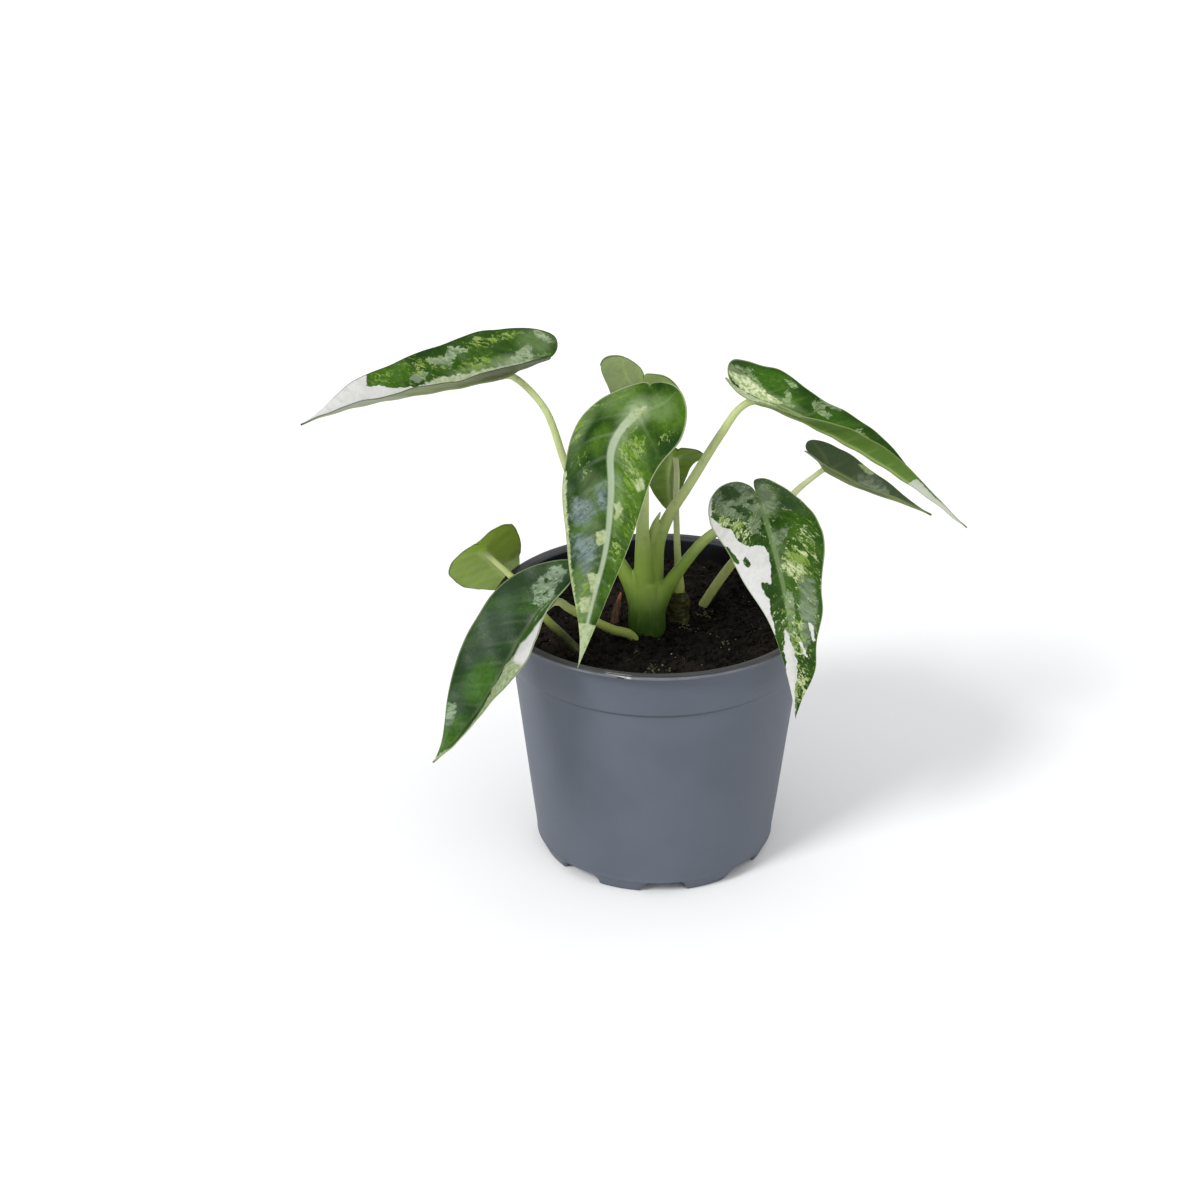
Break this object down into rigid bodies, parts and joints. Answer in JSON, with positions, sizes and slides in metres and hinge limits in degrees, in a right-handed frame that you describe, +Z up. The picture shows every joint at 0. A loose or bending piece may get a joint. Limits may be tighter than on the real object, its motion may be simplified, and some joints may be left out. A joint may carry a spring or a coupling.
{
  "type": "potted variegated bambino arrow alocasia",
  "caption": "Small potted alocasia: long arrow-shaped leaves with basal lobes, marbled green, cream and white, on slim stalks in a grey nursery pot filled with peat.",
  "frame": {"origin": "middle of the plant's footprint at the height that the pot's feet stand on", "axes": "+Z up, +X to the right along the plant's widest spread, +Y to the back"},
  "size_m": [0.2344, 0.1418, 0.2007],
  "materials": {
    "pot": "slate grey thermoformed plastic, satin",
    "soil": "damp dark peat with fibres",
    "stalk": "smooth juicy yellow-green stalk",
    "corm": "rough brown husk",
    "dry_sheath": "thin dry papery sheath",
    "leaf": "leathery satin leaf, marbled dark green, light green, cream and white"
  },
  "bodies": {
    "root": {"pot": "pot", "soil": "soil", "main_shoot": "stalk", "stalk_back_small": "stalk", "stalk_right_small": "stalk", "stalk_left_low": "stalk", "stalk_left_small": "stalk", "offset_corm": "corm", "dry_sheath": "dry_sheath", "leaf_left": "leaf", "leaf_front": "leaf", "leaf_back": "leaf", "leaf_back_small": "leaf", "leaf_right": "leaf", "leaf_right_small": "leaf", "leaf_right_low": "leaf", "leaf_left_low": "leaf", "leaf_left_small": "leaf"}
  },
  "joints": []
}
